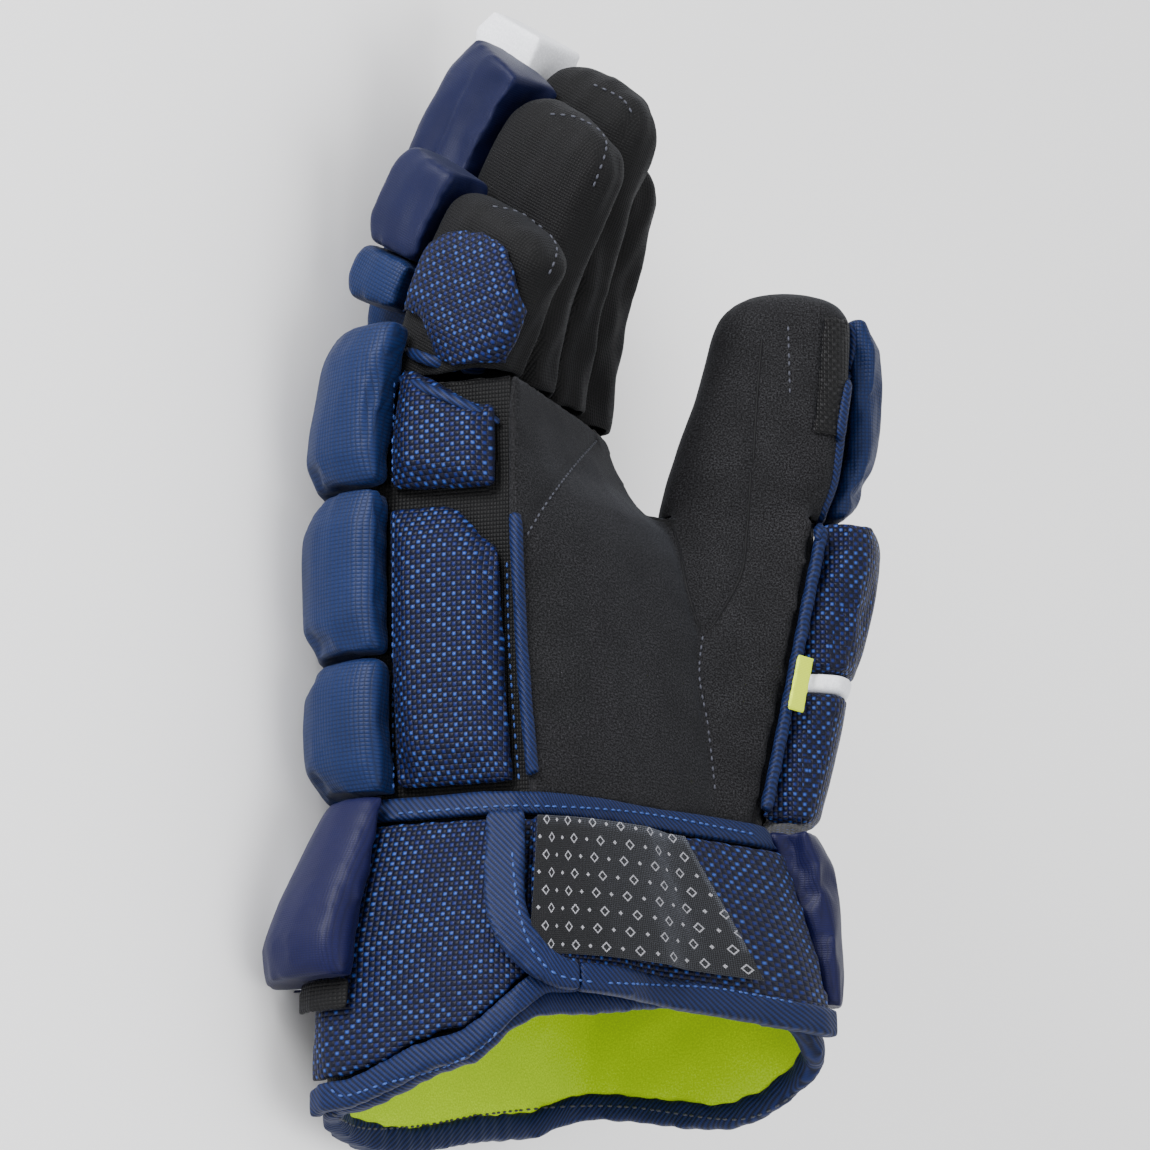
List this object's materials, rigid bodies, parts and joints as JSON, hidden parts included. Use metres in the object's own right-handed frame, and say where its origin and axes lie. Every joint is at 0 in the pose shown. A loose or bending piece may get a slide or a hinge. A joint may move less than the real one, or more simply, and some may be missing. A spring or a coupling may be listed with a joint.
{
  "type": "ice hockey glove",
  "caption": "Right-hand ice hockey glove: padded rolls on the back, suede palm, knit finger stalls, opposed thumb and a wide overlapping cuff.",
  "frame": {"origin": "the middle of the glove's box, on the surface that it rests on", "axes": "+Y to the fingertips, +X to the thumb side, +Z from the back of the hand to the palm"},
  "size_m": [0.1872, 0.358, 0.1215],
  "materials": {
    "navy_nylon": "woven nylon, semi-matt",
    "navy_mesh": "coarse woven mesh with a silky thread",
    "navy_smooth": "tight smooth nylon, matt",
    "navy_tape": "twill binding tape",
    "black_suede": "brushed synthetic suede",
    "black_knit": "knitted stretch cloth",
    "black_nylon": "woven base cloth and elastic",
    "lime_lining": "brushed lining cloth",
    "lime_tag": "woven tag",
    "white_vinyl": "smooth coated cloth"
  },
  "bodies": {
    "root": {"backhand_pad_inner": "navy_nylon", "backhand_pad_middle": "navy_nylon", "backhand_pad_outer": "navy_nylon", "cuff_band": "navy_tape", "cuff_lining": "lime_lining", "cuff_roll": "navy_smooth", "cuff_roll_stripe": "white_vinyl", "front_flap": "navy_mesh", "front_flap_binding": "navy_tape", "front_flap_side_binding": "navy_tape", "front_patch": "black_nylon", "hand_shell": "black_nylon", "index_roll_base": "navy_nylon", "index_roll_tip": "navy_smooth", "index_stall": "black_knit", "knuckle_pad_inner": "navy_nylon", "knuckle_pad_middle": "navy_nylon", "knuckle_pad_outer": "navy_nylon", "knuckle_shell": "black_nylon", "middle_roll_base": "navy_nylon", "middle_roll_tip": "navy_smooth", "middle_stall": "black_knit", "middle_tip_patch": "white_vinyl", "palm": "black_suede", "pinky_binding": "navy_tape", "pinky_cuff_pad": "navy_smooth", "pinky_elastic": "black_nylon", "pinky_flap": "navy_mesh", "pinky_flap_binding": "navy_tape", "pinky_gusset": "navy_mesh", "pinky_roll_base": "navy_nylon", "pinky_roll_tip": "navy_smooth", "pinky_stall": "black_knit", "rim_binding": "navy_tape", "ring_roll_base": "navy_nylon", "ring_roll_tip": "navy_smooth", "ring_stall": "black_knit", "side_pad_lower": "navy_mesh", "side_pad_upper": "navy_mesh", "thumb_back_pad": "navy_nylon", "thumb_binding": "navy_tape", "thumb_cuff_pad": "navy_smooth", "thumb_elastic": "black_nylon", "thumb_heel": "black_suede", "thumb_inset": "black_nylon", "thumb_side_pad": "navy_mesh", "thumb_side_pad_low": "navy_mesh", "thumb_stall": "black_suede", "thumb_stripe": "white_vinyl", "thumb_tag": "lime_tag", "wrist_pad_inner": "navy_nylon", "wrist_pad_middle": "navy_nylon", "wrist_pad_outer": "navy_nylon"}
  },
  "joints": []
}
